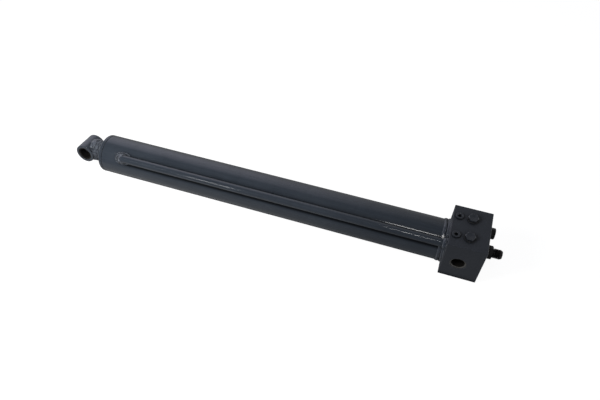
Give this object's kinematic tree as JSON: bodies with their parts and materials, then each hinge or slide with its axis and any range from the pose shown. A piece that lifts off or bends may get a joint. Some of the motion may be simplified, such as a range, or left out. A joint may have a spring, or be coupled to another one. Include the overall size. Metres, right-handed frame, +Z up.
{
  "type": "telescopic hydraulic cylinder",
  "caption": "Slim two-stage double-acting hydraulic cylinder, retracted, with a cross-tube rod eye, a square pin-bored valve block and a transfer tube along its barrel.",
  "frame": {"origin": "where the axis of the base pin's bore crosses the axis of the cylinder", "axes": "+X along the cylinder from the rod eye to the base block, +Z up through the valve face; the stages extend towards -X, and the base pin lies along Y"},
  "size_m": [0.9045, 0.096, 0.1025],
  "materials": {
    "cylinder_paint": "dark slate-grey gloss enamel over turned steel",
    "block_paint": "dark slate-grey gloss enamel over milled steel",
    "weld_paint": "the same enamel over rippled weld bead",
    "black_fitting": "black zinc-plated steel",
    "washer_steel": "dark plated steel and rubber sealing washer",
    "hard_chrome": "ground and hard-chromed steel",
    "machined_steel": "turned bare steel",
    "piston_iron": "turned ductile iron",
    "bush_steel": "hardened steel bush",
    "spring_steel": "drawn spring wire",
    "polyurethane": "moulded blue polyurethane",
    "wear_band": "red-brown fabric-filled resin",
    "piston_ptfe": "bronze-filled sliding ring",
    "nitrile": "nitrile rubber"
  },
  "bodies": {
    "barrel": {"barrel_tube": "cylinder_paint", "barrel_gland": "cylinder_paint", "gland_wiper": "polyurethane", "gland_sleeve_seal": "polyurethane", "gland_wear_band": "wear_band", "gland_o_ring": "nitrile", "transfer_tube": "cylinder_paint", "transfer_boss": "cylinder_paint", "transfer_boss_weld": "weld_paint", "transfer_tube_weld": "weld_paint", "base_block": "block_paint", "base_pin_bush": "bush_steel", "base_weld": "weld_paint", "valve_cap_front": "block_paint", "valve_cap_rear": "block_paint", "valve_cap_washers": "washer_steel", "poppet_spring_front": "spring_steel", "poppet_spring_rear": "spring_steel", "blanking_plug_front": "block_paint", "blanking_plug_rear": "block_paint", "hose_adapter": "black_fitting", "adapter_washer": "washer_steel", "end_port_plug": "black_fitting", "end_plug_washer": "washer_steel"},
    "sleeve_rings": {"sleeve_piston_seal": "piston_ptfe", "sleeve_wear_rings": "wear_band"},
    "sleeve": {"sleeve_tube": "hard_chrome", "sleeve_piston": "piston_iron", "sleeve_stop_ring": "spring_steel", "stage_gland": "machined_steel", "stage_wiper": "polyurethane", "stage_rod_seal": "polyurethane", "stage_wear_band": "wear_band"},
    "rod_rings": {"rod_piston_seal": "piston_ptfe", "rod_wear_rings": "wear_band"},
    "ram": {"rod": "hard_chrome", "rod_piston": "piston_iron", "piston_o_ring": "nitrile", "rod_lock_nut": "machined_steel", "eye_tube": "cylinder_paint", "eye_bush": "bush_steel", "eye_weld": "weld_paint"},
    "poppet_front": {"check_poppet_front": "machined_steel"},
    "poppet_rear": {"check_poppet_rear": "machined_steel"}
  },
  "joints": [
    {"name": "sleeve_slide", "type": "slide", "parent": "barrel", "child": "sleeve_rings", "axis": [-1, 0, 0], "range_m": [0, 0.605]},
    {"name": "sleeve_turn", "type": "hinge", "parent": "sleeve_rings", "child": "sleeve", "pos_m": [-0.064, 0, 0], "axis": [1, 0, 0], "continuous": true},
    {"name": "rod_slide", "type": "slide", "parent": "sleeve", "child": "rod_rings", "axis": [-1, 0, 0], "range_m": [0, 0.616]},
    {"name": "rod_turn", "type": "hinge", "parent": "rod_rings", "child": "ram", "pos_m": [-0.079, 0, 0], "axis": [1, 0, 0], "continuous": true},
    {"name": "poppet_front_lift", "type": "slide", "parent": "barrel", "child": "poppet_front", "axis": [0, 0, 1], "range_m": [0, 0.0025], "stiffness_N_per_m": 400, "springref_m": -0.002, "deforming": ["poppet_spring_front"]},
    {"name": "poppet_rear_lift", "type": "slide", "parent": "barrel", "child": "poppet_rear", "axis": [0, 0, 1], "range_m": [0, 0.0025], "stiffness_N_per_m": 400, "springref_m": -0.002, "deforming": ["poppet_spring_rear"]}
  ]
}
